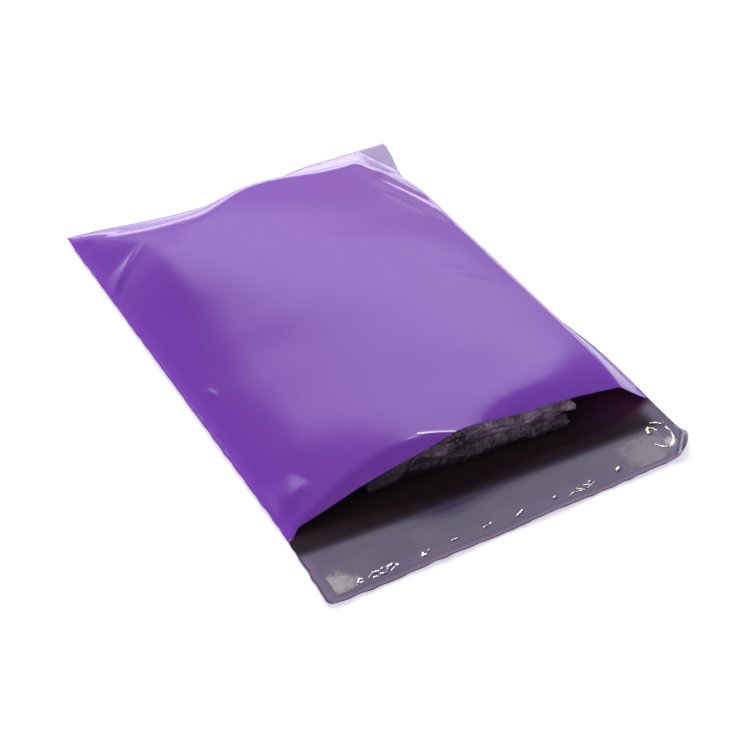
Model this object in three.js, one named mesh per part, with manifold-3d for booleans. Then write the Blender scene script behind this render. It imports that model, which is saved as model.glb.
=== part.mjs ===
// Poly mailer bag lying open on its back panel, plumped up by a film-wrapped bundle.
// Millimetres, +Z up, +Y from the mouth to the bottom fold.
// The origin is on the floor, under the middle of the bag with its flap laid out.
import * as THREE from "three";
import Module from "manifold-3d";

const { clamp, lerp, smoothstep } = THREE.MathUtils;
const wasm = await Module();
wasm.setup();

// The bag as it is made, laid flat
const flatWidth = 254; // across, from cut edge to cut edge
const flatLength = 330; // from the mouth to the bottom fold
const flapLength = 52; // closure flap, from the mouth to its tip
const leftCornerRadius = 5; // of the flap
const rightCornerRadius = 14;
const filmWall = 0.5; // one layer of film, several times the real gauge
const weldWidth = 5; // fused margin down each side
const foldInset = 2; // pressed flat along the bottom fold

// The bundle inside
const leftRoom = 50; // free film beside the bundle on the left
const rightRoom = 23; // on the right
const backRoom = 30; // and behind it
const bundleHeight = 24; // at its edges, where the film breaks over it
const bundleCrown = 8; // further rise at its middle
const crownFall = 1.5; // power of the vault's fall toward the back
const bundleSetback = 8; // front face behind the mouth
const bundleTaper = 28; // its right side runs in by this much at the front
const taperRun = 0.3; // over this share of its length
const bundleEdge = 6; // roll of its layers' edges
const bundleBlunt = 0.32; // share of a layer's thickness that is left at its very edge
const bundleInset = 4; // its sides and back lie inside the film's ridges
const bundleClearance = 1.6; // to the film above it

// How the filled bag lies
const sideDrawIn = 2; // the filling pulls each side in
const foldDrawIn = 8; // and the bottom fold forward
const rightDraw = 9; // the right edge is drawn in further between its ends
const rightDrawRise = [0.13, 0.43]; // shares of the length over which that comes
const rightDrawFall = [0.85, 0.99]; // and goes
const foldDraw = 10; // and so is the bottom fold
const foldDrawRise = [0, 0.35]; // shares of the width
const foldDrawFall = [0.5, 0.75];
const weldLift = 1.2; // the side welds stand off the floor
const foldLift = 2.5; // and so does the bottom fold
const mouthRun = 34; // the welds' lift dies away over this distance from the mouth
const flapLift = 0.6; // the flap rises toward its tip
const lipSetback = 1; // the top panel stops short of the flap's fold line
const lipRecess = 4; // the arched lip is drawn back in the middle
const lipDroop = 8; // and hangs this far below the bundle's top, on the right
const lipDroopRun = 38;
const lipPeak = 110; // from the left edge to the highest point of the lip
const lipFall = 62; // from there to where it hangs lowest
const lipFold = 21; // depth of the turned-down strip behind the lip, where the left ridge meets it
const backRun = 33; // from the bottom fold up to the back ridge
const backTuck = 14; // less in the middle, where the film drops steeply
const backTuckRise = [0.3, 0.38]; // shares of the width
const backTuckFall = [0.5, 0.6];
const backSpread = 5; // and more toward the right
const backSpreadRise = [0.6, 0.8];
const facetSide = 36; // a facet runs to the left back corner, from this far in on the left slope
const facetBack = 45; // and this far from the bottom fold
const facetHeight = 14.5;
const facetTop = 75; // and from here on the back ridge
const earTop = 45; // at the right back corner a flat ear is left, and a facet falls to it from the back ridge
const earBack = 39; // this far from the bottom fold
const earSide = 28; // and from the right ridge
const earSideBack = 82;
const earFoot = 7; // down to here beside the right edge
const leftRound = 16; // softness of the ridges
const rightRound = 3.5;
const backRound = 11;
const facetRound = 4;
const lipRound = 3;
const creaseFade = 9; // the creases fade out over this distance from a weld
const flapWave = 0.5; // waviness of the flap's free edge
const flapWaves = 3.5; // waves along it
const flapCurlRadius = 12; // the flap's right corner is rolled up
const flapCurlReach = 22; // by this much, measured in from its tip

// The closure
const adhesiveWidth = 16;
const adhesiveWall = 0.4;
const adhesiveFromTip = 6;
const linerWidth = 33;
const linerWall = 0.4;
const linerFromTip = 1;
const linerOpacity = 0.4; // clear film over the dark flap
const seatGap = 0.3; // between things that lie on each other

// Where everything lies
const halfWidth = flatWidth / 2 - sideDrawIn;
const bodyLength = flatLength - foldDrawIn;
const mouthY = (flapLength - bodyLength) / 2;
const foldY = mouthY + bodyLength;
const tipY = mouthY - flapLength;
const bundleLeft = -halfWidth + leftRoom;
const bundleRight = halfWidth - rightRoom;
const bundleFront = mouthY + bundleSetback;
const bundleBack = foldY - backRoom;
const bundleWidth = bundleRight - bundleLeft;
const bundleLength = bundleBack - bundleFront;
const leastGap = 0.2; // between the two panels, along the welds

// Mesh fineness
const topColumns = 32;
const topRows = 38;
const bottomColumns = 26;
const bottomRows = 24;
const openFlapRows = 3; // between the liner and the mouth
const liftedColumns = 4; // of the back panel, beside each weld
const liftedRows = 3; // and before the bottom fold
const bundleColumns = 9;
const bundleRows = 9;
const rollSteps = 2;

// A closed surface gathered sheet by sheet. Each sheet is a grid of points, and strips join their edges.
class Skin {
  constructor() {
    this.positions = [];
    this.triangles = [];
  }

  // Adds the points of a sheet and returns them as rows of indices.
  sheet(acrosses, alongs, place) {
    return alongs.map((along) =>
      acrosses.map((across) => {
        this.positions.push(...place(across, along));
        return this.positions.length / 3 - 1;
      }),
    );
  }

  // Faces for every cell of a sheet, on its upper or its lower side.
  cover(rows, upper) {
    for (let j = 0; j + 1 < rows.length; j++) {
      for (let i = 0; i + 1 < rows[j].length; i++) {
        const ring = [rows[j][i], rows[j][i + 1], rows[j + 1][i + 1], rows[j + 1][i]];
        this.fan(upper ? ring : [ring[0], ...reversed(ring.slice(1))]);
      }
    }
  }

  // A flat face with its corners in counter-clockwise order.
  fan(ring) {
    for (let k = 1; k + 1 < ring.length; k++) {
      this.triangles.push(ring[0], ring[k], ring[k + 1]);
    }
  }

  // A wall between two edges that run side by side to the right, seen from outside.
  wall(lower, upper) {
    const lowerShare = this.shares(lower);
    const upperShare = this.shares(upper);
    let i = 0;
    let j = 0;
    while (i + 1 < lower.length || j + 1 < upper.length) {
      const stepUpper = i + 1 === lower.length || upperShare[j + 1] <= lowerShare[i + 1];
      if (stepUpper && j + 1 < upper.length) {
        this.triangles.push(lower[i], upper[j + 1], upper[j]);
        j += 1;
      } else {
        this.triangles.push(lower[i], lower[i + 1], upper[j]);
        i += 1;
      }
    }
  }

  // How far along an edge each of its points lies, from 0 to 1.
  shares(edge) {
    const points = edge.map((k) => new THREE.Vector3().fromArray(this.positions, 3 * k));
    const lengths = points.map((p, k) => (k ? p.distanceTo(points[k - 1]) : 0));
    const total = lengths.reduce((sum, d) => sum + d);
    let run = 0;
    return lengths.map((d) => (run += d) / total);
  }

  geometry() {
    const made = new THREE.BufferGeometry();
    made.setAttribute("position", new THREE.Float32BufferAttribute(this.positions, 3));
    made.setIndex(this.triangles);
    return made;
  }
}

const column = (rows, i) => rows.map((row) => row.at(i));
const reversed = (list) => [...list].reverse();
const steps = (count, from = 0, to = 1) =>
  Array.from({ length: count + 1 }, (_, k) => lerp(from, to, k / count));

// Solid between two surfaces over one plan.
function slab(acrosses, alongs, lower, upper) {
  const skin = new Skin();
  const under = skin.sheet(acrosses, alongs, lower);
  const over = skin.sheet(acrosses, alongs, upper);
  skin.cover(under, false);
  skin.cover(over, true);
  skin.wall(under[0], over[0]);
  skin.wall(column(under, -1), column(over, -1));
  skin.wall(reversed(under.at(-1)), reversed(over.at(-1)));
  skin.wall(reversed(column(under, 0)), reversed(column(over, 0)));
  return skin.geometry();
}

// Shares of the width from the left and of the length from the mouth.
const shareAcross = (x) => (x + halfWidth) / (2 * halfWidth);
const shareAlong = (y) => (y - mouthY) / bodyLength;

// Rises from 0 to 1 between two shares and falls back between two others.
const between = (share, rise, fall) => smoothstep(share, ...rise) * (1 - smoothstep(share, ...fall));

// The bag's outline: left and right edges at a distance along it, bottom fold at a distance across.
const leftEdge = -halfWidth;
const rightEdge = (y) => halfWidth - rightDraw * between(shareAlong(y), rightDrawRise, rightDrawFall);
const foldEdge = (x) => foldY - foldDraw * between(shareAcross(x), foldDrawRise, foldDrawFall);

// Height over the floor of the plane through three points.
function slope(a, b, c) {
  const plane = new THREE.Plane().setFromCoplanarPoints(
    new THREE.Vector3(...a),
    new THREE.Vector3(...b),
    new THREE.Vector3(...c),
  );
  const { normal, constant } = plane;
  return (x, y) => -(normal.x * x + normal.y * y + constant) / normal.z;
}

// Height at a point between a weld, where it is nothing, and the bundle's top edge.
const rising = (at, from, to) => (bundleHeight * (at - from)) / (to - from);

// Where the back slope ends on the bundle, at a distance across.
function backRidge(x) {
  const tuck = backTuck * between(shareAcross(x), backTuckRise, backTuckFall);
  const spread = backSpread * smoothstep(shareAcross(x), ...backSpreadRise);
  return foldEdge(x) - foldInset - backRun + tuck - spread;
}

// The film runs from each weld to the bundle's top edge, like a hipped roof. Its lip is turned down.
const slopes = [
  { round: leftRound, height: (x) => rising(x, leftEdge + weldWidth, bundleLeft) },
  { round: rightRound, height: (x, y) => rising(x, rightEdge(y) - weldWidth, bundleRight) },
  { round: backRound, height: (x, y) => rising(y, foldEdge(x) - foldInset, backRidge(x)) },
  {
    round: facetRound,
    height: slope(
      [-halfWidth, foldY, 0],
      [facetSide - halfWidth, foldY - facetBack, facetHeight],
      [facetTop - halfWidth, backRidge(facetTop - halfWidth), bundleHeight],
    ),
  },
  {
    round: facetRound,
    height: slope(
      [halfWidth - earTop, foldY - earBack, bundleHeight],
      [halfWidth - earFoot, foldY - earBack, 0],
      [halfWidth - earSide, foldY - earSideBack, bundleHeight],
    ),
  },
  {
    round: lipRound,
    height: slope(
      [-halfWidth + weldWidth, mouthY, 0],
      [bundleLeft, mouthY + lipFold, bundleHeight],
      [lipPeak - halfWidth, mouthY + lipRecess, bundleHeight + bundleCrown],
    ),
  },
];

// The film over the bundle's top, a low vault that falls toward its back end.
function crown(x, y) {
  const aside = (x - (bundleLeft + bundleRight) / 2) / (bundleWidth / 2);
  const along = clamp((y - (bundleFront + bundleBack) / 2) / (bundleLength / 2), 0, 2);
  return bundleHeight + bundleCrown * (1 - aside ** 2) * (1 - along ** crownFall);
}

// The lower of two slopes. The ridge between them is rounded, and sharpens to a crease at the film's edge.
function softLower(a, b, softness) {
  const round = Math.min(softness, (a + b) / 2);
  if (round <= 0) return Math.min(a, b);
  const overlap = Math.max(round - Math.abs(a - b), 0);
  return Math.min(a, b) - (overlap * overlap) / (4 * round);
}

// A place on the bag, by share of its width from the left and of its length from the mouth.
const onBag = (across, along) => [lerp(-halfWidth, halfWidth, across), lerp(mouthY, foldY, along)];

// Creases of the top panel, each a ridge from one point to another.
const creases = [
  { from: onBag(0.15, 0.86), to: onBag(0, 0.8), reach: 7, height: 2.4 },
  { from: onBag(0.15, 0.85), to: onBag(0, 0.76), reach: 7, height: 1.5 },
  { from: onBag(0.85, 0.83), to: onBag(0.9, 0.66), reach: 6, height: 1.2 },
  { from: onBag(0.81, 0.77), to: onBag(0.89, 0.6), reach: 6, height: 1 },
  { from: onBag(0.03, 0.14), to: onBag(0.12, 0.04), reach: 7, height: 1 },
];

// Height of one crease at a point: round across, fading to nothing at both ends.
function creaseRise({ from, to, reach, height }, x, y) {
  const [dx, dy] = [to[0] - from[0], to[1] - from[1]];
  const length = Math.hypot(dx, dy);
  const along = ((x - from[0]) * dx + (y - from[1]) * dy) / (length * length);
  const aside = ((x - from[0]) * dy - (y - from[1]) * dx) / length;
  const fade = Math.sin(Math.PI * clamp(along, 0, 1));
  return height * fade * Math.max(0, 1 - (aside / reach) ** 2) ** 2;
}

// Where the top panel's free edge lies, for a share of the width.
const lipY = (across) => mouthY + lipSetback + lipRecess * Math.sin(Math.PI * across);

// Free height between the two panels.
function gap(x, y) {
  const roof = slopes.reduce((low, { height, round }) => softLower(low, height(x, y), round), crown(x, y));
  const nearLip = clamp(1 - (y - mouthY) / lipDroopRun, 0, 1) ** 2;
  const right = smoothstep(x, lipPeak - halfWidth, lipPeak - halfWidth + lipFall);
  const folded = creases.reduce((sum, crease) => sum + creaseRise(crease, x, y), 0);
  const hanging = (lipDroop * nearLip * right * roof) / (bundleHeight + bundleCrown);
  const edge = Math.min(x - leftEdge, rightEdge(y) - x, foldEdge(x) - y) - weldWidth;
  return Math.max(leastGap, roof - hanging + folded * smoothstep(edge, 0, creaseFade));
}

// Shares of the width and of the length at which the two panels, the flap and its strips have their points.
const weldShare = weldWidth / (2 * halfWidth);
const withMargins = (count) => [0, ...steps(count - 2, weldShare, 1 - weldShare), 1];
const insideMargins = (count) => withMargins(count).slice(1, -1);
const withFold = (count) => [...steps(count - 1, 0, 1 - foldInset / bodyLength), 1];
const beforeFold = (count) => withFold(count).slice(0, -1);

// The back panel lies flat on the floor inside these shares.
const restAcross = withMargins(bottomColumns)[liftedColumns];
const restAlong = withFold(bottomRows).at(-1 - liftedRows);

// How far the back panel and its flap stand off the floor, before the corner is rolled.
function lift(x, y) {
  const across = (x - leftEdge) / (rightEdge(y) - leftEdge);
  const along = (y - mouthY) / (foldEdge(x) - mouthY);
  const towardTip = clamp((mouthY - y) / flapLength, 0, 1);
  const behindMouth = smoothstep(y, mouthY - mouthRun, mouthY + mouthRun);
  const weld = weldLift * behindMouth * (1 - smoothstep(Math.min(across, 1 - across), 0, restAcross));
  const fold = foldLift * smoothstep(along, restAlong, 1);
  const wave = flapWave * towardTip ** 2 * (1 + Math.sin((2 * Math.PI * flapWaves * x) / flatWidth));
  return Math.max(weld, fold) + flapLift * towardTip + wave;
}

// Half the flap's width at a distance from its tip, less where that side's corner is rounded.
function flapSide(fromTip, radius) {
  const short = clamp(radius - fromTip, 0, radius);
  return halfWidth - radius + Math.sqrt(radius ** 2 - short ** 2);
}

// A point at a height over the film of the flap, with the right corner rolled up about a slanting axis.
function rolled(x, y, height) {
  const fromCorner = (halfWidth - x + y - tipY) / Math.SQRT2;
  const reach = Math.max(0, flapCurlReach - fromCorner);
  const turn = reach / flapCurlRadius;
  const inward = (reach - (flapCurlRadius - height) * Math.sin(turn)) / Math.SQRT2;
  const rise = flapCurlRadius - (flapCurlRadius - height) * Math.cos(turn);
  return [x - inward, y + inward, lift(x, y) + rise];
}

// Plan of the body's two panels, by share of the width and of the length.
function bodyPlan(frontEdge, u, v) {
  const y = lerp(mouthY, foldY, v);
  const x = lerp(leftEdge, rightEdge(y), u);
  return [x, lerp(frontEdge, foldEdge(lerp(-halfWidth, halfWidth, u)), v)];
}
const topPlan = (u, v) => bodyPlan(lipY(u), u, v);
const bottomPlan = (u, v) => bodyPlan(mouthY, u, v);

// One layer of film at a height over the floor, laid out by a plan.
const layer = (plan, height) => (u, v) => {
  const [x, y] = plan(u, v);
  return [x, y, lift(x, y) + height(x, y)];
};
const backOuter = () => 0;
const backInner = () => filmWall;
const frontInner = (x, y) => filmWall + gap(x, y);
const frontOuter = (x, y) => 2 * filmWall + gap(x, y);

// A layer of the flap at a height, by share of the width and distance from the tip.
const flapLayer = (height) => (u, fromTip) => {
  const left = -flapSide(fromTip, leftCornerRadius);
  const right = flapSide(fromTip, rightCornerRadius);
  return rolled(lerp(left, right, u), tipY + fromTip, height);
};

// Distances from the tip: the strips' edges first, then the open film up to the mouth.
const adhesiveRows = steps(2, adhesiveFromTip, adhesiveFromTip + adhesiveWidth);
const linerRows = [linerFromTip, ...adhesiveRows, linerFromTip + linerWidth];
const flapRows = [0, ...linerRows, ...steps(openFlapRows, linerFromTip + linerWidth, flapLength).slice(1)];

// The film of the bag: one sheet, folded at the bottom, welded down both sides, with the flap past the mouth.
function mailerFilm() {
  const beforeMouth = flapRows.slice(0, -1);
  const skin = new Skin();

  const front = skin.sheet(withMargins(topColumns), withFold(topRows), layer(topPlan, frontOuter));
  const lining = skin.sheet(insideMargins(topColumns), beforeFold(topRows), layer(topPlan, frontInner));
  const back = skin.sheet(withMargins(bottomColumns), withFold(bottomRows), layer(bottomPlan, backOuter));
  const bed = skin.sheet(insideMargins(bottomColumns), beforeFold(bottomRows), layer(bottomPlan, backInner));
  const flapBack = skin.sheet(withMargins(bottomColumns), beforeMouth, flapLayer(0));
  const flapFace = skin.sheet(withMargins(bottomColumns), beforeMouth, flapLayer(filmWall));
  const [mouthEnds] = skin.sheet([0, 1], [0], layer(bottomPlan, backInner));
  const under = [...flapBack, ...back];
  const face = [...flapFace, [mouthEnds[0], ...bed[0], mouthEnds[1]]];

  skin.cover(front, true);
  skin.cover(lining, false);
  skin.cover(bed, true);
  skin.cover(face, true);
  skin.cover(under, false);

  // Cut edges: the flap's tip, both sides and the bottom fold
  skin.wall(under[0], face[0]);
  skin.wall(column(under, -1), [...column(face, -1), ...column(front, -1)]);
  skin.wall(reversed(under.at(-1)), reversed(front.at(-1)));
  skin.wall(reversed(column(under, 0)), [...reversed(column(front, 0)), ...reversed(column(face, 0))]);

  // Inner edges of the welds and of the fold, facing the pocket
  skin.wall(reversed(column(bed, -1)), reversed(column(lining, -1)));
  skin.wall(bed.at(-1), lining.at(-1));
  skin.wall(column(bed, 0), column(lining, 0));

  // The lip, and the ends of the two welds beside it
  skin.wall(lining[0], front[0].slice(1, -1));
  skin.fan([mouthEnds[0], bed[0][0], lining[0][0], front[0][1], front[0][0]]);
  skin.fan([bed[0].at(-1), mouthEnds[1], front[0].at(-1), front[0].at(-2), lining[0].at(-1)]);
  return skin.geometry();
}

// A strip along the flap between the two weld lines, its underside at a height over the floor.
function flapStrip(rows, height, wall) {
  return slab(insideMargins(bottomColumns), rows, flapLayer(height), flapLayer(height + wall));
}

// Layers of the bundle: share of its height, and how far the front edge stands back at the left and right.
const bundleLayers = [
  { low: 0, high: 0.42, left: 3, right: -7, narrow: 3 },
  { low: 0.34, high: 0.74, left: 1, right: -2, narrow: 9 },
  { low: 0.66, high: 1, left: 6, right: -4, narrow: 0 },
];

// One folded layer of the bundle, its edges rolled. The top layer follows the film above it.
function bundleLayer({ low, high, left, right, narrow }) {
  const plan = (u, v) => {
    const taper = bundleTaper * (1 - smoothstep(v, 0, taperRun));
    const inset = bundleInset + narrow;
    const x = lerp(bundleLeft + inset, bundleRight - inset - taper, u);
    return [x, lerp(bundleFront + lerp(left, right, u), backRidge(x) - inset, v)];
  };
  const roll = (u, v) => {
    const fromSide = bundleWidth * Math.min(u, 1 - u);
    const fromEnd = bundleLength * Math.min(v, 1 - v);
    const inset = 1 - clamp(Math.min(fromSide, fromEnd) / bundleEdge, 0, 1);
    return Math.sqrt(1 - (1 - bundleBlunt ** 2) * inset * inset);
  };
  const surface = (share) => (u, v) => {
    const [x, y] = plan(u, v);
    const bottom = filmWall + seatGap;
    const top = filmWall + gap(x, y) - bundleClearance;
    const middle = lerp(bottom, top, (low + high) / 2);
    return [x, y, lift(x, y) + lerp(middle, lerp(bottom, top, share), roll(u, v))];
  };
  const rolledEnds = (count, span) => {
    const edge = bundleEdge / span;
    const rise = steps(rollSteps).map((t) => edge * t * t);
    return [...rise, ...steps(count, edge, 1 - edge).slice(1, -1), ...reversed(rise).map((t) => 1 - t)];
  };
  return slab(
    rolledEnds(bundleColumns, bundleWidth),
    rolledEnds(bundleRows, bundleLength),
    surface(low),
    surface(high),
  );
}

// One closed body from several that overlap.
function merged(geometries) {
  const solids = geometries.map((geometry) => {
    const mesh = new wasm.Mesh({
      numProp: 3,
      vertProperties: new Float32Array(geometry.getAttribute("position").array),
      triVerts: new Uint32Array(geometry.getIndex().array),
    });
    return new wasm.Manifold(mesh);
  });
  const mesh = wasm.Manifold.union(solids).getMesh();
  const made = new THREE.BufferGeometry();
  made.setAttribute("position", new THREE.BufferAttribute(new Float32Array(mesh.vertProperties), 3));
  made.setIndex(new THREE.BufferAttribute(new Uint32Array(mesh.triVerts), 1));
  return made;
}

function node(name, geometry, color, roughness, opacity = 1) {
  const material = new THREE.MeshStandardMaterial({ color, roughness, opacity, transparent: opacity < 1 });
  const mesh = new THREE.Mesh(geometry, material);
  mesh.name = name;
  return mesh;
}

const adhesiveHeight = filmWall + seatGap;
const linerHeight = adhesiveHeight + adhesiveWall + seatGap;
const mailer = new THREE.Group();
mailer.add(
  node("mailer_film", mailerFilm(), 0x7a42b0, 0.25),
  node("adhesive_strip", flapStrip(adhesiveRows, adhesiveHeight, adhesiveWall), 0x6b6478, 0.4),
  node("release_liner", flapStrip(linerRows, linerHeight, linerWall), 0xd8d4e0, 0.15, linerOpacity),
  node("wrapped_bundle", merged(bundleLayers.map(bundleLayer)), 0x3a333c, 0.2),
);

export default mailer;
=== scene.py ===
"""Poly mailer bag lying open on a pale floor: film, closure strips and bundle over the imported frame."""

import math

import bpy
import numpy as np
from mathutils import Matrix, Vector

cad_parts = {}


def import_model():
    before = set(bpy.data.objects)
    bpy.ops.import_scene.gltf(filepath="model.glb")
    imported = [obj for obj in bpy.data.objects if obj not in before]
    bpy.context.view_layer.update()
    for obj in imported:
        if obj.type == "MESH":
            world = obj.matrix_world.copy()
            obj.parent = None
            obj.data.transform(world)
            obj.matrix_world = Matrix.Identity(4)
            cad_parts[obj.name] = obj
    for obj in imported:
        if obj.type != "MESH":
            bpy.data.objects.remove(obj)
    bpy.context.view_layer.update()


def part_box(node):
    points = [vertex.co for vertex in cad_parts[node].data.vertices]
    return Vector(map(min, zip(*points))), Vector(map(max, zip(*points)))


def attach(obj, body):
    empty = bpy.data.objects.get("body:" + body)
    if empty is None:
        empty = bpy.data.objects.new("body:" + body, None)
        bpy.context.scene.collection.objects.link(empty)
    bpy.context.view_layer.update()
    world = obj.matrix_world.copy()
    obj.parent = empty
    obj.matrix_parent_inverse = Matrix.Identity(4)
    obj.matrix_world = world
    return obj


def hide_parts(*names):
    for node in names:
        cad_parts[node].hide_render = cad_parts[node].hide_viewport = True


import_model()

MM = 0.001

# The film's outline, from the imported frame, in millimetres like the other sizes
film_low, film_high = (np.array(corner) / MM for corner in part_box("mailer_film"))
HALF_WIDTH = film_high[0]
WIDTH = 2 * HALF_WIDTH
LEFT_EDGE = -HALF_WIDTH
FOLD_Y = film_high[1]
TIP_Y = film_low[1]
FLAP_LENGTH = 52
MOUTH_Y = TIP_Y + FLAP_LENGTH
BODY_LENGTH = FOLD_Y - MOUTH_Y

# The film, flat and made up
FILM = 0.12
WELD = 5
WELD_GAP = 0.26
SEAM = 1

# The bundle and the room that it leaves in the bag
LEFT_ROOM = 50
RIGHT_ROOM = 23
BACK_ROOM = 30
SETBACK = 8
BUNDLE_HEIGHT = 24
BUNDLE_CROWN = 8
CROWN_FALL = 1.5
CROWN_REACH = 2
BUNDLE_LEFT = LEFT_EDGE + LEFT_ROOM
BUNDLE_RIGHT = HALF_WIDTH - RIGHT_ROOM
BUNDLE_FRONT = MOUTH_Y + SETBACK
BUNDLE_BACK = FOLD_Y - BACK_ROOM

# How the edges are drawn in. A run is where a form rises and where it falls off again, here in shares
RIGHT_DRAW = 9
RIGHT_DRAW_RUN = ((0.13, 0.43), (0.85, 0.99))
FOLD_DRAW = 10
FOLD_DRAW_RUN = ((0.0, 0.35), (0.5, 0.75))
RAGGED = 0.45
RAGGED_LENGTH = 12
RAGGED_RUN = 4
RAGGED_SEED = 5

# How far the back panel stands off the floor
WELD_LIFT = 1.2
FOLD_LIFT = 2.5
LIFT_RUN = 34
WELD_PUCKER = 0.25
WELD_PUCKER_REACH = 2.5
WELD_PUCKER_LENGTH = 11
WELD_PUCKER_STRETCH = 0.2
WELD_PUCKER_SEED = 8

# The slopes of the draped front panel and the softness of its ridges
LEFT_SPREAD = 7
LEFT_SPREAD_RUN = ((40, 100), (110, 180))
LEFT_TUCK = 13
LEFT_TUCK_RUN = ((160, 230), (236, 282))
BACK_RUN = 29
BACK_TUCK = 10
BACK_TUCK_RUN = ((0.3, 0.5), (0.5, 0.72))
BACK_SPREAD = 9
BACK_SPREAD_RUN = (0.55, 0.8)
FACET_SIDE = 36
FACET_BACK = 45
FACET_HEIGHT = 17.1
FACET_TOP = 75
EAR_TOP = 45
EAR_BACK = 39
EAR_SIDE = 28
EAR_SIDE_BACK = 82
EAR_FOOT = 7
LEFT_ROUND = 14
RIGHT_ROUND = (2.2, 5.5)
RIGHT_ROUND_RUN = (60, 160)
BACK_ROUND = 4
FACET_ROUND = 12
EAR_ROUND = 4
ROUND_POWER = 4.0
LEAST_HEIGHT = 1e-3

# The lip of the front panel
LIP_RECESS = 4
LIP_NOTCH = 4.5
LIP_PEAK = 110
LIP_NOTCH_RUN = ((0, 10), (40, LIP_PEAK))
LIP_FALL = 54
LIP_FOLD = 21
LIP_ROUND = 1.6
LIP_HOLLOW = 0.8
LIP_HOLLOW_DROP = 5
LIP_DROOP = 8.5
LIP_DROOP_RUN = (18, 60)
LIP_DROOP_POWER = 3

# Height, wavelength and seed of the front panel's waves, and where folds and waves fade out at an edge
PANEL_UNREST = ((0.45, 80, 3), (0.07, 30, 4))
CREASE_FADE = 6
UNREST_FADE = 14

# The flap
FLAP_LEFT_CORNER = 5
FLAP_RIGHT_CORNER = 16
FLAP_SLANT = 3
FLAP_LIFT = 0.6
FLAP_WAVE = 0.5
FLAP_HALF_WAVES = 7
CURL_RADIUS = 11
CURL_REACH = 19

# The closure strips on the flap. The liner's unrest is again height, wavelength and seed
ADHESIVE_WIDTH = 16
ADHESIVE_FROM_TIP = 6
ADHESIVE_INSET = WELD + 3
ADHESIVE_RISE = 0.08
ADHESIVE_FILM = 0.05
LINER_WIDTH = 33
LINER_FROM_TIP = 1
LINER_INSET = WELD
LINER_RISE = 0.11
LINER_FILM = 0.02
LINER_SEAT = 0.035
LINER_SEAT_TIP = 5
LINER_SEAT_MOUTH = 11
LINER_SEAT_END = 3
LINER_UNREST = ((0.03, 26, 21), (0.01, 8, 22))

# The bundle's layers: lower and upper share of its height, front at the left and right, further inset
BUNDLE_LAYERS = [
    (0.0, 0.42, 3, -7, 3),
    (0.34, 0.74, 1, -3, 1),
    (0.66, 1.0, 6, -8, 2),
]
BUNDLE_TAPER = 28
BUNDLE_TAPER_RUN = (0.05, 0.3)
BUNDLE_EDGE = 3.5
BUNDLE_INSET = 4
BUNDLE_SEAT = 0.8
BUNDLE_CLEARANCE = 1.6
BUNDLE_FRONT_WAVE = 3
BUNDLE_FRONT_LENGTH = 34
BUNDLE_SEED = 40
CRUMPLE = 1.5
CRUMPLE_SPACING = 24
CRUMPLE_FINE = 0.4
CRUMPLE_FINE_SPACING = 9
CRUMPLE_SLANT = 2
CRUMPLE_TOP = 0.3
CRUMPLE_ROLL = 0.5
CRUMPLE_ROOM = 0.6

# Cells of the meshes
FRONT_COLUMNS = 180
FRONT_ROWS = 157
LIP_ZONE = 24
LIP_ROWS = 30
BACK_COLUMNS = 130
BACK_ROWS = 80
FLAP_ROWS = 52
ADHESIVE_CELLS = (120, 12)
LINER_CELLS = (500, 66)
BUNDLE_CELLS = (200, 70)
CREASE_STEPS = 32


def smoothstep(t, low, high):
    s = np.clip((t - low) / (high - low), 0, 1)
    return s * s * (3 - 2 * s)


def mix(a, b, t):
    return a + (b - a) * t


def between(t, rise, fall):
    """Rises from 0 to 1 between two values and falls back between two others."""
    return smoothstep(t, *rise) * (1 - smoothstep(t, *fall))


def soft_lower(a, b, softness):
    """The lower of two slopes, rounded where they cross, and crisp at the film's edge."""
    middle = np.maximum((a + b) / 2, LEAST_HEIGHT)
    rounding = (softness**-ROUND_POWER + middle**-ROUND_POWER) ** (-1 / ROUND_POWER)
    overlap = np.maximum(rounding - np.abs(a - b), 0)
    return np.minimum(a, b) - overlap**2 / (4 * rounding)


WAVE_COUNT = 9
WAVE_SPREAD = (0.7, 1.5)
WAVE_GAIN = 1.6


def waves(x, y, wavelength, seed):
    """Smooth even unrest of about that wavelength, mostly between -1 and 1."""
    rng = np.random.default_rng(seed)
    total = np.zeros_like(x)
    for _ in range(WAVE_COUNT):
        angle, phase = rng.uniform(0, 2 * np.pi, 2)
        k = 2 * np.pi / (wavelength * rng.uniform(*WAVE_SPREAD))
        total += np.sin(k * (x * np.cos(angle) + y * np.sin(angle)) + phase)
    return total / WAVE_COUNT * WAVE_GAIN


def unrest(x, y, layers, base=0):
    """Waves on one another about a base: height, wavelength and seed of each."""
    return sum(height * (base + waves(x, y, wavelength, seed)) for height, wavelength, seed in layers)


# Outline of the bag in plan
def share_across(x):
    return (x - LEFT_EDGE) / WIDTH


def share_along(y):
    return (y - MOUTH_Y) / BODY_LENGTH


def right_edge(y):
    return HALF_WIDTH - RIGHT_DRAW * between(share_along(y), *RIGHT_DRAW_RUN)


def fold_edge(x):
    return FOLD_Y - FOLD_DRAW * between(share_across(x), *FOLD_DRAW_RUN)


def from_side(x, y):
    return np.minimum(x - LEFT_EDGE, right_edge(y) - x)


def back_ridge(x):
    """Where the back slope ends on the bundle."""
    share = share_across(x)
    tuck = BACK_TUCK * between(share, *BACK_TUCK_RUN)
    spread = BACK_SPREAD * smoothstep(share, *BACK_SPREAD_RUN)
    return fold_edge(x) - SEAM - BACK_RUN + tuck - spread


def ragged(along):
    """Small unevenness of the cut and fused edges."""
    return RAGGED * waves(0 * along, along, RAGGED_LENGTH, RAGGED_SEED)


def spot(from_left, from_mouth):
    """A place on the bag, measured from the left end of the mouth."""
    return np.array([LEFT_EDGE + from_left, MOUTH_Y + from_mouth])


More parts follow.
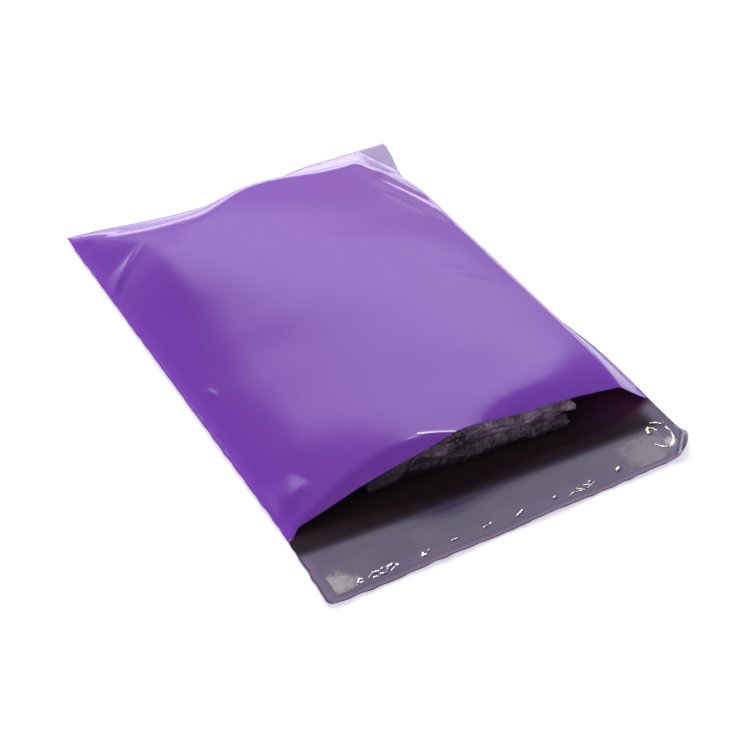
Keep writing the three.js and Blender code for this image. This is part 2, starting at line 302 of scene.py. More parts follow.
# Creases of the front panel: start, bend and end of the line, reach to its left and right, height
CREASES = [
    (spot(211.5, 275), spot(213, 240), spot(225, 218), 3.4, 2.4, 1.1),
    (spot(200.5, 256), spot(213.5, 226), spot(224, 184), 4.5, 2.8, 1.3),
    (spot(198, 240), spot(206, 219), spot(213, 198), 3.4, 2.6, 0.45),
    (spot(226, 178), spot(229, 130), spot(230, 92), 2.5, 2.5, 0.4),
    (spot(185, 136), spot(198, 124), spot(212, 112), 1.8, 1.8, 0.22),
    (spot(176, 150), spot(190, 140), spot(203, 128), 2.2, 2.2, 0.18),
    (spot(26, 28.5), spot(11, 23), spot(-6, 21), 6.0, 12.0, 2.5),
    (spot(10, 133), spot(14, 128), spot(15, 119), 2.0, 1.5, 0.75),
    (spot(86, 16.4), spot(100.6, 9), spot(114, 2.2), 1.2, 1.0, 0.5),
]


def crease_rise(x, y, crease):
    """Height of one crease: a ridge along a bent line, fading out at both ends."""
    start, bend, end, reach_left, reach_right, height = crease
    t = np.linspace(0, 1, CREASE_STEPS + 1)[:, None]
    line = (1 - t) ** 2 * start + 2 * t * (1 - t) * bend + t**2 * end
    best = np.full(x.shape, np.inf)
    rise = np.zeros_like(x)
    for (ax, ay), (bx, by), share in zip(line[:-1], line[1:], t[:-1, 0]):
        dx, dy = bx - ax, by - ay
        along = np.clip(((x - ax) * dx + (y - ay) * dy) / (dx * dx + dy * dy), 0, 1)
        off_x, off_y = x - ax - along * dx, y - ay - along * dy
        distance = np.hypot(off_x, off_y)
        reach = np.where(off_x * dy - off_y * dx > 0, reach_right, reach_left)
        fade = np.sin(np.pi * (share + along / CREASE_STEPS))
        nearer = distance < best
        best = np.where(nearer, distance, best)
        rise = np.where(nearer, height * fade * np.exp(-((distance / reach) ** 2)), rise)
    return rise


PLEAT_APEX = spot(36.5, 277)
PLEAT_FRONT = spot(0, 247)
PLEAT_BACK = spot(0, 263)
PLEAT_HEIGHT = 1.7
PLEAT_FACE = 2.0
PLEAT_RUN = 40
PLEAT_ARCH = 0.62
PLEAT_LEAST = 1e-6


def pleat_rise(x, y):
    """A wedge of film folded over itself at the back left: steep in front, falling evenly to the back."""
    def slope_to(px, py):
        return (PLEAT_APEX[1] - py) / np.maximum(PLEAT_APEX[0] - px, PLEAT_LEAST)

    out = np.maximum(PLEAT_APEX[0] - x, 0)
    slope, front, back = slope_to(x, y), slope_to(*PLEAT_FRONT), slope_to(*PLEAT_BACK)
    tall = PLEAT_HEIGHT * np.sin(PLEAT_ARCH * np.pi * np.clip(out / PLEAT_RUN, 0, 1))
    across = np.clip((front - slope) / (front - back), 0, 1)
    before = np.maximum(slope - front, 0) * out / math.hypot(1, front)
    return tall * (1 - across) * np.exp(-((before / PLEAT_FACE) ** 2))


# Height of the film
def plane(a, b, c):
    """Height of the plane through three points, as a function of the plan."""
    a, b, c = (np.array(point, float) for point in (a, b, c))
    normal = np.cross(b - a, c - a)
    return lambda x, y: a[2] - (normal[0] * (x - a[0]) + normal[1] * (y - a[1])) / normal[2]


corner_facet = plane(
    (LEFT_EDGE, FOLD_Y, 0),
    (LEFT_EDGE + FACET_SIDE, FOLD_Y - FACET_BACK, FACET_HEIGHT),
    (LEFT_EDGE + FACET_TOP, back_ridge(LEFT_EDGE + FACET_TOP), BUNDLE_HEIGHT),
)
ear_facet = plane(
    (HALF_WIDTH - EAR_TOP, FOLD_Y - EAR_BACK, BUNDLE_HEIGHT),
    (HALF_WIDTH - EAR_FOOT, FOLD_Y - EAR_BACK, 0),
    (HALF_WIDTH - EAR_SIDE, FOLD_Y - EAR_SIDE_BACK, BUNDLE_HEIGHT),
)
lip_strip = plane(
    (LEFT_EDGE + WELD, MOUTH_Y, 0),
    (BUNDLE_LEFT, MOUTH_Y + LIP_FOLD, BUNDLE_HEIGHT),
    (LEFT_EDGE + LIP_PEAK, MOUTH_Y + LIP_RECESS, BUNDLE_HEIGHT + BUNDLE_CROWN),
)


def vault(x, y):
    """The film on top of the bundle: arched across, and falling toward the back."""
    aside = (x - (BUNDLE_LEFT + BUNDLE_RIGHT) / 2) / ((BUNDLE_RIGHT - BUNDLE_LEFT) / 2)
    middle = (BUNDLE_FRONT + BUNDLE_BACK) / 2
    along = np.clip((y - middle) / (BUNDLE_BACK - middle), 0, CROWN_REACH)
    return BUNDLE_HEIGHT + BUNDLE_CROWN * (1 - aside**2) * (1 - along**CROWN_FALL)


def roof(x, y):
    """The draped film: slopes from the welds to the bundle under the vault, with the lip folded down."""
    from_mouth = y - MOUTH_Y
    spread = LEFT_SPREAD * between(from_mouth, *LEFT_SPREAD_RUN)
    tuck = LEFT_TUCK * between(from_mouth, *LEFT_TUCK_RUN)
    left = (x - LEFT_EDGE) / (LEFT_ROOM + spread - tuck)
    right_foot = right_edge(y) - SEAM
    right = (right_foot - x) / (right_foot - BUNDLE_RIGHT)
    right_round = mix(*RIGHT_ROUND, smoothstep(from_mouth, *RIGHT_ROUND_RUN))
    back_foot = fold_edge(x) - SEAM
    back = (back_foot - y) / (back_foot - back_ridge(x))
    slopes = (
        (BUNDLE_HEIGHT * left, LEFT_ROUND),
        (BUNDLE_HEIGHT * right, right_round),
        (soft_lower(BUNDLE_HEIGHT * back, corner_facet(x, y), FACET_ROUND), BACK_ROUND),
        (ear_facet(x, y), EAR_ROUND),
    )
    height = vault(x, y)
    for slope, softness in slopes:
        height = soft_lower(height, slope, softness)
    lip = lip_strip(x, y)
    drop = np.maximum(height - lip, 0)
    hollow = LIP_HOLLOW * drop * np.exp(-drop / LIP_HOLLOW_DROP)
    return soft_lower(height, lip - hollow, LIP_ROUND)


def lip_droop(x, y):
    """Share by which the lip hangs: none left of its peak, 1 at its right end."""
    past_peak = np.maximum(x - LEFT_EDGE - LIP_PEAK, 0)
    run = np.interp(past_peak, (0, WIDTH - LIP_PEAK), LIP_DROOP_RUN)
    near_lip = np.clip(1 - (y - MOUTH_Y) / run, 0, 1) ** LIP_DROOP_POWER
    return near_lip * smoothstep(past_peak, 0, LIP_FALL)


def weld_lift(y):
    return WELD_LIFT * smoothstep(y, MOUTH_Y - LIFT_RUN, MOUTH_Y + LIFT_RUN)


def fold_lift(x, y):
    return FOLD_LIFT * (1 - smoothstep(fold_edge(x) - y, 0, LIFT_RUN))


def panel_lift(x, y):
    """The back panel's rise from the floor toward the welds and the bottom fold."""
    return np.maximum(weld_lift(y) * (1 - smoothstep(from_side(x, y), 0, LIFT_RUN)), fold_lift(x, y))


def gap(x, y):
    """Free height between the two panels."""
    height = roof(x, y)
    height = height - LIP_DROOP * lip_droop(x, y) * height / (BUNDLE_HEIGHT + BUNDLE_CROWN)
    height = height + np.maximum(weld_lift(y), fold_lift(x, y)) - panel_lift(x, y)
    edge = np.minimum(from_side(x, y), fold_edge(x) - y) - SEAM
    folds = pleat_rise(x, y) + sum(crease_rise(x, y, crease) for crease in CREASES)
    height = height + folds * smoothstep(edge, 0, CREASE_FADE)
    height = height + unrest(x, y, PANEL_UNREST) * smoothstep(edge, 0, UNREST_FADE)
    return np.maximum(height, WELD_GAP)


def lift(x, y):
    """How far the back panel and its flap stand off the floor."""
    toward_tip = np.clip((MOUTH_Y - y) / FLAP_LENGTH, 0, 1)
    wave = FLAP_WAVE * toward_tip**2 * (1 + np.sin(FLAP_HALF_WAVES * np.pi * x / WIDTH))
    uneven = 1 + waves(x * WELD_PUCKER_STRETCH, y, WELD_PUCKER_LENGTH, WELD_PUCKER_SEED)
    pucker = WELD_PUCKER * np.exp(-from_side(x, y) / WELD_PUCKER_REACH) * uneven * weld_lift(y)
    return panel_lift(x, y) + FLAP_LIFT * toward_tip + wave + pucker


# Surfaces
def body_plan(u, v, front):
    """Plan of the body at shares across and along, from a front line to the bottom fold."""
    y = mix(MOUTH_Y, FOLD_Y, v)
    x = mix(LEFT_EDGE + ragged(y), right_edge(y), u)
    return x, mix(front, fold_edge(mix(LEFT_EDGE, HALF_WIDTH, u)), v)


def lip_recess(x):
    """How far the lip of the front panel lies back from the mouth line."""
    across = x - LEFT_EDGE
    notch = LIP_NOTCH * between(across, *LIP_NOTCH_RUN)
    return LIP_RECESS * np.sin(np.pi * across / WIDTH) + notch


def rolled(x, y, height):
    """A point at a height over the flap, with its right corner rolled up about a slanting axis."""
    from_corner = (HALF_WIDTH - x + y - TIP_Y) / math.sqrt(2)
    reach = np.maximum(0, CURL_REACH - from_corner)
    turn = reach / CURL_RADIUS
    inward = (reach - (CURL_RADIUS - height) * np.sin(turn)) / math.sqrt(2)
    rise = CURL_RADIUS - (CURL_RADIUS - height) * np.cos(turn)
    return np.stack([x - inward, y + inward, lift(x, y) + rise], axis=-1)


def corner_inset(y, radius):
    """How far a rounded corner of the flap draws in its side at a distance along."""
    short = np.clip(radius - (y - TIP_Y), 0, radius)
    return radius - np.sqrt(radius**2 - short**2)


def flap_surface(u, from_tip, height):
    """Points at a height over the flap, at shares across it and distances from its tip."""
    y = TIP_Y + from_tip
    slant = FLAP_SLANT * (1 - from_tip / FLAP_LENGTH)
    left = LEFT_EDGE - slant + corner_inset(y, FLAP_LEFT_CORNER) + ragged(y)
    right = HALF_WIDTH - corner_inset(y, FLAP_RIGHT_CORNER)
    x = mix(left, right, u)
    return rolled(x, y + ragged(x) * np.clip(1 - from_tip / RAGGED_RUN, 0, 1), height)


# Meshes
def mesh_object(name, points, faces):
    mesh = bpy.data.meshes.new(name)
    mesh.from_pydata((np.asarray(points) * MM).tolist(), [], np.asarray(faces).tolist())
    mesh.validate()
    mesh.polygons.foreach_set("use_smooth", [True] * len(mesh.polygons))
    obj = bpy.data.objects.new(name, mesh)
    bpy.context.scene.collection.objects.link(obj)
    return obj


def quads(index):
    """Faces of a grid of point numbers, facing up where it runs right and then away."""
    corners = [index[:-1, :-1], index[:-1, 1:], index[1:, 1:], index[1:, :-1]]
    return np.stack([corner.ravel() for corner in corners], axis=1)


def sheet_object(name, points, thickness, upward=True, inner_slot=0):
    """A film through a grid of points, which thickens away from the side that it faces."""
    faces = quads(np.arange(points[..., 0].size).reshape(points.shape[:2]))
    obj = mesh_object(name, points.reshape(-1, 3), faces if upward else faces[:, ::-1])
    solid = obj.modifiers.new("film", "SOLIDIFY")
    solid.thickness = thickness * MM
    solid.offset = -1
    solid.use_even_offset = False
    solid.material_offset = inner_slot
    return obj


# Film of the bag: the front panel, and the back panel that runs on into the flap
def front_panel():
    near_lip = np.linspace(0, LIP_ZONE, LIP_ROWS + 1)
    beyond = np.linspace(LIP_ZONE, BODY_LENGTH, FRONT_ROWS + 1)[1:]
    along = np.concatenate([near_lip, beyond]) / BODY_LENGTH
    us, vs = np.meshgrid(np.linspace(0, 1, FRONT_COLUMNS + 1), along)
    x, y = body_plan(us, vs, MOUTH_Y + lip_recess(LEFT_EDGE + WIDTH * us))
    points = np.stack([x, y, lift(x, y) + gap(x, y)], axis=-1)
    return sheet_object("front_panel", points, FILM, inner_slot=1)


def back_panel():
    across = np.linspace(0, 1, BACK_COLUMNS + 1)
    us, vs = np.meshgrid(across, np.linspace(0, 1, BACK_ROWS + 1))
    x, y = body_plan(us, vs, MOUTH_Y)
    body = np.stack([x, y, lift(x, y)], axis=-1)
    us, tips = np.meshgrid(across, np.linspace(0, FLAP_LENGTH, FLAP_ROWS + 1)[:-1])
    points = np.concatenate([flap_surface(us, tips, 0.0), body])
    return sheet_object("back_panel", points, FILM, upward=False, inner_slot=1)


# Closure strips on the flap. Where the liner is loose it lifts in small creases, each a stroke between
# two places, measured from the left end of the tip, with half its width and its height. The strokes are
# painted white as glints.
PUCKERS_AND_GLINTS = [
    (21.4, 8.0, 23.2, 10.2, 0.5, 0.4), (23.2, 10.2, 25.0, 9.2, 0.35, 0.3),
    (22.8, 7.4, 24.4, 7.2, 0.35, 0.3), (28.8, 8.6, 30.4, 9.8, 0.35, 0.3),
    (32.0, 10.5, 35.4, 10.2, 0.5, 0.4), (37.2, 10.9, 38.2, 11.1, 0.3, 0.3),
    (40.6, 10.4, 44.4, 10.9, 0.6, 0.4), (46.0, 9.7, 47.2, 8.7, 0.4, 0.3),
    (31.2, 7.5, 33.4, 6.9, 0.3, 0.3), (35.6, 7.9, 38.6, 7.1, 0.4, 0.3),
    (42.4, 7.3, 44.4, 8.1, 0.3, 0.3), (40.0, 8.8, 41.2, 9.3, 0.4, 0.3),
    (62.2, 7.3, 63.2, 9.4, 0.5, 0.4), (63.2, 7.3, 64.6, 7.6, 0.4, 0.3),
    (66.6, 9.3, 67.4, 9.7, 0.5, 0.4), (82.2, 9.4, 85.8, 9.6, 0.55, 0.4),
    (103.2, 9.6, 105.8, 10, 0.5, 0.4), (107.8, 10.3, 109.0, 10.8, 0.4, 0.3),
    (125.4, 8.0, 129.4, 10.0, 0.55, 0.4), (151.0, 9.3, 151.6, 9.5, 0.8, 0.5),
    (160, 5.6, 164, 7.4, 0.25, 0.3), (164, 7.4, 170, 6.4, 0.25, 0.3),
    (167, 9.2, 172, 6.0, 0.25, 0.3), (172, 9.6, 176, 8.4, 0.3, 0.3),
    (174, 6.6, 180, 8.8, 0.25, 0.3), (176, 10.2, 177, 10.6, 0.5, 0.3),
    (196.7, 10.6, 197.5, 11.0, 1.1, 0.6), (231.2, 26.8, 231.4, 29.0, 0.9, 0.6),
    (231.4, 29.0, 233.4, 30.4, 0.8, 0.6), (233.4, 30.4, 235.8, 29.0, 0.4, 0.4),
    (235.8, 29.0, 236.6, 26.2, 0.3, 0.3), (237.4, 33.4, 240.6, 32.0, 0.5, 0.4),
    (240.6, 32.0, 242.6, 29.6, 0.35, 0.4), (243.6, 26.4, 243.8, 21.6, 0.35, 0.4),
    (243.8, 21.6, 242.0, 16.8, 0.45, 0.4), (242.0, 16.8, 239.4, 13.2, 0.7, 0.5),
    (239.4, 13.2, 236.4, 11.2, 0.9, 0.5), (234.0, 11.2, 231.0, 13.0, 0.4, 0.4),
    (231.0, 13.0, 228.4, 16.6, 0.3, 0.3), (245.0, 30.4, 246.0, 27.6, 0.3, 0.3),
]
PUCKER_SPREAD = 1.6


def pucker_rise_and_glints(x, tips):
    """Height of the liner's loose creases, and where they are painted white as glints of light."""
    rise = np.zeros_like(x)
    drawn = np.zeros(x.shape, bool)
    for start_x, start_tip, end_x, end_tip, half_width, height in PUCKERS_AND_GLINTS:
        dx, dy = end_x - start_x, end_tip - start_tip
        along = np.clip(((x - start_x) * dx + (tips - start_tip) * dy) / (dx * dx + dy * dy), 0, 1)
        away = np.hypot(x - start_x - along * dx, tips - start_tip - along * dy)
        rise = np.maximum(rise, height * np.exp(-((away / (PUCKER_SPREAD * half_width)) ** 2)))
        drawn |= away < half_width
    return rise, drawn


def strip_grid(start, width, inset, cells):
    """Shares across the flap and distances from its tip of a strip's points."""
    columns, rows = cells
    margin = inset / WIDTH
    across = np.linspace(margin, 1 - margin, columns + 1)
    return np.meshgrid(across, np.linspace(start, start + width, rows + 1))


def adhesive_band():
    us, tips = strip_grid(ADHESIVE_FROM_TIP, ADHESIVE_WIDTH, ADHESIVE_INSET, ADHESIVE_CELLS)
    points = flap_surface(us, tips, np.full_like(us, ADHESIVE_RISE))
    return sheet_object("adhesive_band", points, ADHESIVE_FILM)


def liner_film():
    us, tips = strip_grid(LINER_FROM_TIP, LINER_WIDTH, LINER_INSET, LINER_CELLS)
    x = us * WIDTH
    from_end = np.minimum(x, WIDTH - x) - LINER_INSET
    loose = smoothstep(tips - LINER_FROM_TIP, 0, LINER_SEAT_TIP)
    loose = loose * smoothstep(LINER_FROM_TIP + LINER_WIDTH - tips, 0, LINER_SEAT_MOUTH)
    loose = loose * smoothstep(from_end, 0, LINER_SEAT_END)
    uneven = LINER_RISE - LINER_SEAT + unrest(x, tips, LINER_UNREST, base=1)
    rise = LINER_SEAT + uneven * loose + pucker_rise_and_glints(x, tips)[0]
    obj = sheet_object("liner_film", flap_surface(us, tips, rise), LINER_FILM)
    centres = [(grid[:-1, :-1] + grid[1:, 1:]) / 2 for grid in (x, tips)]
    # faces on the creases take the painted glint material
    drawn = pucker_rise_and_glints(*centres)[1].ravel()
    obj.data.polygons.foreach_set("material_index", drawn.astype(int))
    return obj


# Bundle: soft layers in a crumpled film wrap, seen through the mouth
FOLD_COUNT = 6
FOLD_SPREAD = (0.7, 1.6)
FOLD_GAIN = 1.7


def crumpled(x, y, spacing, seed):
    """Sharp folds in all directions, of about that spacing, mostly between -1 and 1."""
    rng = np.random.default_rng(seed)
    total = np.zeros_like(x)
    for _ in range(FOLD_COUNT):
        angle, phase = rng.uniform(0, 2 * np.pi), rng.uniform()
        across = (x * np.cos(angle) + y * np.sin(angle)) / (spacing * rng.uniform(*FOLD_SPREAD)) + phase
        total += 4 * np.abs(across % 1 - 0.5) - 1
    return total / FOLD_COUNT * FOLD_GAIN


def bundle_layer(name, low, high, left, right, narrow, seed):
    """One layer: an upper and a lower face that meet in a rolled edge all round."""
    columns, rows = BUNDLE_CELLS
    us, vs = np.meshgrid(np.linspace(0, 1, columns + 1), np.linspace(0, 1, rows + 1) ** 2)
    taper = BUNDLE_TAPER * (1 - smoothstep(vs, *BUNDLE_TAPER_RUN))
    inset = narrow + BUNDLE_INSET
    xs = mix(BUNDLE_LEFT + inset, BUNDLE_RIGHT - inset - taper, us)
    front_wave = BUNDLE_FRONT_WAVE * waves(xs, 0 * xs, BUNDLE_FRONT_LENGTH, seed + 5)
    ys = mix(BUNDLE_FRONT + mix(left, right, us) + front_wave, back_ridge(xs) - inset, vs)
    from_ends = (BUNDLE_RIGHT - BUNDLE_LEFT) * np.minimum(us, 1 - us)
    from_front_and_back = (BUNDLE_BACK - BUNDLE_FRONT) * np.minimum(vs, 1 - vs)
    inward = np.clip(np.minimum(from_ends, from_front_and_back) / BUNDLE_EDGE, 0, 1)
    roll = np.sqrt(np.maximum(1 - (1 - inward) ** 2, 0))
    bottom = FILM + BUNDLE_SEAT
    top = gap(xs, ys) - BUNDLE_CLEARANCE
    middle = mix(bottom, top, (low + high) / 2)
    front_half = vs < 0.5
    sides = []
    for share, outward in ((high, 1), (low, -1)):
        z = mix(middle, mix(bottom, top, share), roll)
        around = ys + CRUMPLE_SLANT * z
        coarse = crumpled(xs, around, CRUMPLE_SPACING, seed)
        fine = CRUMPLE_FINE * crumpled(xs, around, CRUMPLE_FINE_SPACING, seed + 1)
        folds = CRUMPLE * (coarse + fine)
        raised = z + outward * folds * (CRUMPLE_TOP + CRUMPLE_ROLL * roll)
        raised = np.clip(raised, bottom, top + CRUMPLE_ROOM)
        pushed = ys - folds * (1 - roll**2) * front_half
        sides.append(np.stack([xs, pushed, lift(xs, ys) + raised], axis=-1))
    upper = np.arange(us.size).reshape(us.shape)
    lower = upper + us.size
    for rim in (np.s_[:, 0], np.s_[:, -1], np.s_[0, :], np.s_[-1, :]):
        lower[rim] = upper[rim]
    points = np.concatenate([side.reshape(-1, 3) for side in sides])
    faces = np.concatenate([quads(upper), quads(lower)[:, ::-1]])
    used, faces = np.unique(faces, return_inverse=True)
    return mesh_object(name, points[used], faces.reshape(-1, 4))


# Materials
class Nodes:
    """The nodes of a material or of the world, with short ways to add and link them."""

    def __init__(self, tree, coordinates):
        self.nodes = tree.nodes
        self.links = tree.links
        self.place = self.nodes.new("ShaderNodeTexCoord").outputs[coordinates]
        split = self.add("ShaderNodeSeparateXYZ", Vector=self.place)
        self.x, self.y, self.z = (split.outputs[axis] for axis in "XYZ")

    def add(self, kind, settings=None, **inputs):
        """A new node. An input is given by its name, or by its number after an underscore."""
        node = self.nodes.new(kind)
        for name, value in (settings or {}).items():
            setattr(node, name, value)
        for name, value in inputs.items():
            socket = node.inputs[int(name[1:]) if name[0] == "_" else name.replace("_", " ")]
            if isinstance(value, bpy.types.NodeSocket):
                self.links.new(value, socket)
            else:
                socket.default_value = value
        return node

    def ramp(self, value, start, end, low=0.0, high=1.0):
        """Goes smoothly from low to high where a value goes from start to end."""
        node = self.add(
            "ShaderNodeMapRange", {"interpolation_type": "SMOOTHSTEP"},
            Value=value, From_Min=start, From_Max=end, To_Min=low, To_Max=high,
        )
        return node.outputs["Result"]

    def over(self, length, start, end, low=0.0, high=1.0):
        """A ramp over a coordinate or a distance, with its start and end in millimetres."""
        return self.ramp(length, start * MM, end * MM, low, high)

    def math(self, operation, *values):
        numbered = {f"_{k}": value for k, value in enumerate(values)}
        return self.add("ShaderNodeMath", {"operation": operation}, **numbered).outputs[0]

    def vector(self, operation, first, second, output=0):
        node = self.add("ShaderNodeVectorMath", {"operation": operation}, _0=first, _1=second)
        return node.outputs[output]

    def noise(self, scale, detail=3.0, stretch=(1, 1, 1)):
        mapping = self.add("ShaderNodeMapping", Vector=self.place, Scale=stretch).outputs[0]
        return self.add("ShaderNodeTexNoise", Vector=mapping, Scale=scale, Detail=detail).outputs["Fac"]

    def blend(self, factor, low, high):
        """A colour between two, each of them a colour or a node's output."""
        low, high = (end if isinstance(end, bpy.types.NodeSocket) else (*end, 1) for end in (low, high))
        return self.add("ShaderNodeMix", {"data_type": "RGBA"}, _0=factor, _6=low, _7=high).outputs[2]


PATCH_GRAIN = 190
# Where the mouth's painted shade fades out over the flap
MOUTH_SHADE_SLANT = 0.042
MOUTH_SHADE_RUN = (12.5, 23)
MOUTH_SHADE_RIGHT = (17, 3)
MOUTH_SHADE_OUTSIDE = (-1, 9)


class Finish(Nodes):
    """A material around one Principled shader, with the nodes that vary it by place on the bag."""

    def __init__(self, name, **sockets):
        self.made = bpy.data.materials.new(name)
        self.made.use_nodes = True
        super().__init__(self.made.node_tree, "Object")
        self.shader = self.nodes["Principled BSDF"]
        for socket, value in sockets.items():
            self.shader.inputs[socket.replace("_", " ")].default_value = value

    def set(self, socket, value):
        self.links.new(value, self.shader.inputs[socket])

    def bump(self, *layers):
        """Bumps on one another: height, strength and depth in millimetres of each."""
        below = {}
        for height, strength, depth in layers:
            shape = {"Height": height, "Strength": strength, "Distance": depth * MM}
            node = self.add("ShaderNodeBump", **shape, **below)
            below = {"Normal": node.outputs["Normal"]}
        self.set("Normal", below["Normal"])

    def in_plan(self):
        return self.vector("MULTIPLY", self.place, (1, 1, 0))

    def patch(self, centre, radius, unevenness, inner, strength):
        """A ragged patch around a place, fading out between its inner and full radius, in millimetres."""
        away = self.vector("DISTANCE", self.in_plan(), (*(centre * MM), 0), "Value")
        grain = self.math("SUBTRACT", self.noise(PATCH_GRAIN, detail=4), 0.5)
        uneven = self.math("MULTIPLY", grain, 2 * unevenness * MM)
        return self.over(self.math("ADD", away, uneven), radius, inner, high=strength)

    def stroke(self, start, end, inner, outer):
        """1 along a line between two places, fading out between two distances from it, in millimetres."""
        run = (end - start) * MM
        off = self.vector("SUBTRACT", self.in_plan(), (*(start * MM), 0))
        share = self.vector("DOT_PRODUCT", off, (*(run / (run @ run)), 0), "Value")
        held = self.math("MINIMUM", self.math("MAXIMUM", share, 0.0), 1.0)
        foot_x, foot_y = (self.math("MULTIPLY", held, step) for step in run)
        foot = self.add("ShaderNodeCombineXYZ", X=foot_x, Y=foot_y).outputs[0]
        return self.over(self.vector("DISTANCE", off, foot, "Value"), outer, inner)

    def out_of_mouth_shade(self):
        """Share out of the mouth's painted shade: nothing inside the dark mouth, rising to 1 on the open
        flap along a soft slanting line.
        """
        slanted = self.math("MULTIPLY_ADD", self.x, MOUTH_SHADE_SLANT, self.y)
        open_flap = self.over(slanted, *(MOUTH_Y - before for before in MOUTH_SHADE_RUN))
        at_right = self.over(self.x, *(HALF_WIDTH - inward for inward in MOUTH_SHADE_RIGHT))
        outside = self.over(self.y, *(MOUTH_Y - before for before in MOUTH_SHADE_OUTSIDE))
        return self.math("MAXIMUM", open_flap, self.math("MULTIPLY", at_right, outside))


FILM_LINES = ((0.24, 0.052, 0.58), (0.26, 0.06, 0.61))
FILM_REAR = (0.262, 0.056, 0.53)
FILM_LIP = (0.28, 0.066, 0.69)
FILM_WELD = (0.31, 0.07, 0.70)
# Painted sheen: pale lavender toward the bottom fold at the back right
FILM_EAR_SHEEN = (0.62, 0.5, 0.81)
# Painted highlight: a thin white line along the crest of the lip, between these two places
FILM_CREST_HIGHLIGHT = (1.0, 0.98, 1.0)
CREST_HIGHLIGHT_LINE = (spot(91, 14.2), spot(110.3, 4.3))
ALONG_THE_BAG = (1, 0.06, 1)
EAR_SHEEN_SLANT = 0.12


def outer_film():
    """Purple film: drawn lines along the bag, a brighter fused weld at the left, fine orange peel, a
    painted sheen toward the fold at the back right, and a painted highlight along the lip's crest.
    """
    film = Finish("purple_film", IOR=1.5)
    drawn = film.noise(scale=70, detail=4, stretch=ALONG_THE_BAG)
    right = film.over(film.x, -30, 70)
    rear = film.math("MULTIPLY", right, film.over(film.y, 0, 120, high=0.9))
    lip = film.math("MULTIPLY", right, film.over(film.y, MOUTH_Y + 45, MOUTH_Y + 15))
    weld = film.over(film.x, LEFT_EDGE + 1, LEFT_EDGE + 2 * WELD, low=0.9, high=0.0)
    # painted sheen toward the fold at the back right, where the sloping film mirrors the bright
    # surroundings
    slanted = film.math("MULTIPLY_ADD", film.x, EAR_SHEEN_SLANT, film.y)
    at_fold = film.over(slanted, FOLD_Y - 36, FOLD_Y - 26)
    ear_sheen = film.math("MULTIPLY", at_fold, film.over(film.x, -5, 45, high=0.6))
    # painted highlight along the lip's crest
    crest_highlight = film.stroke(*CREST_HIGHLIGHT_LINE, inner=0.25, outer=0.85)
    tints = (
        (rear, FILM_REAR),
        (lip, FILM_LIP),
        (weld, FILM_WELD),
        (ear_sheen, FILM_EAR_SHEEN),
        (crest_highlight, FILM_CREST_HIGHLIGHT),
    )
    color = film.blend(drawn, *FILM_LINES)
    for share, tint in tints:
        color = film.blend(share, color, tint)
    film.set("Base Color", color)
    film.set("Roughness", film.ramp(film.noise(scale=220), 0.3, 0.7, 0.19, 0.22))
    film.bump((film.noise(scale=1100, detail=2), 0.06, 0.3), (drawn, 0.03, 0.4))
    return film.made


# Near-black painted shade of the inner face inside the mouth, clouded
INNER_SHADE_CLOUDS = ((0.02, 0.006, 0.015), (0.026, 0.01, 0.021))
# Painted glow: purple light on the dark inner face at the right of the mouth
INNER_PAINTED_GLOW = (0.12, 0.02, 0.11)
SLATE = (0.108, 0.074, 0.185)
SLATE_EDGE = (0.26, 0.16, 0.32)
MATTE = 0.8


def inner_film():
    """The film's dark inner face: sleek and slate on the flap, matte in the mouth with near-black painted
    shade, and a painted purple glow at its right.
    """
    film = Finish("inner_film_and_mouth_shade", IOR=1.4)
    cloudy = film.blend(film.noise(scale=45), *INNER_SHADE_CLOUDS)
    inside = film.over(film.y, MOUTH_Y - 17, MOUTH_Y + 2)
    # painted glow: purple light at the right of the mouth
    glow = film.math("MULTIPLY", film.over(film.x, 60, 118), inside)
    mouth = film.blend(glow, cloudy, INNER_PAINTED_GLOW)
    at_tip = film.over(film.y, TIP_Y + 4, TIP_Y + 1)
    at_left = film.over(film.x, LEFT_EDGE + 7, LEFT_EDGE - 1, high=0.7)
    flap = film.blend(film.math("MAXIMUM", at_tip, at_left), SLATE, SLATE_EDGE)
    # painted shade of the mouth, giving way to the slate flap
    unshaded = film.out_of_mouth_shade()
    film.set("Base Color", film.blend(unshaded, mouth, flap))
    film.set("Roughness", film.ramp(unshaded, 0, 1, MATTE, 0.17))
    film.bump((film.noise(scale=700), 0.1, 0.4))
    return film.made


SLATE_TIP = (0.13, 0.088, 0.22)
LINER_CLOUD = (0.2, 0.17, 0.24)
# Pale painted sheen on the liner
LINER_SHEEN = (0.62, 0.55, 0.58)
# Near-black painted shade of the liner toward the mouth
LINER_MOUTH_SHADE = (0.014, 0.008, 0.012)


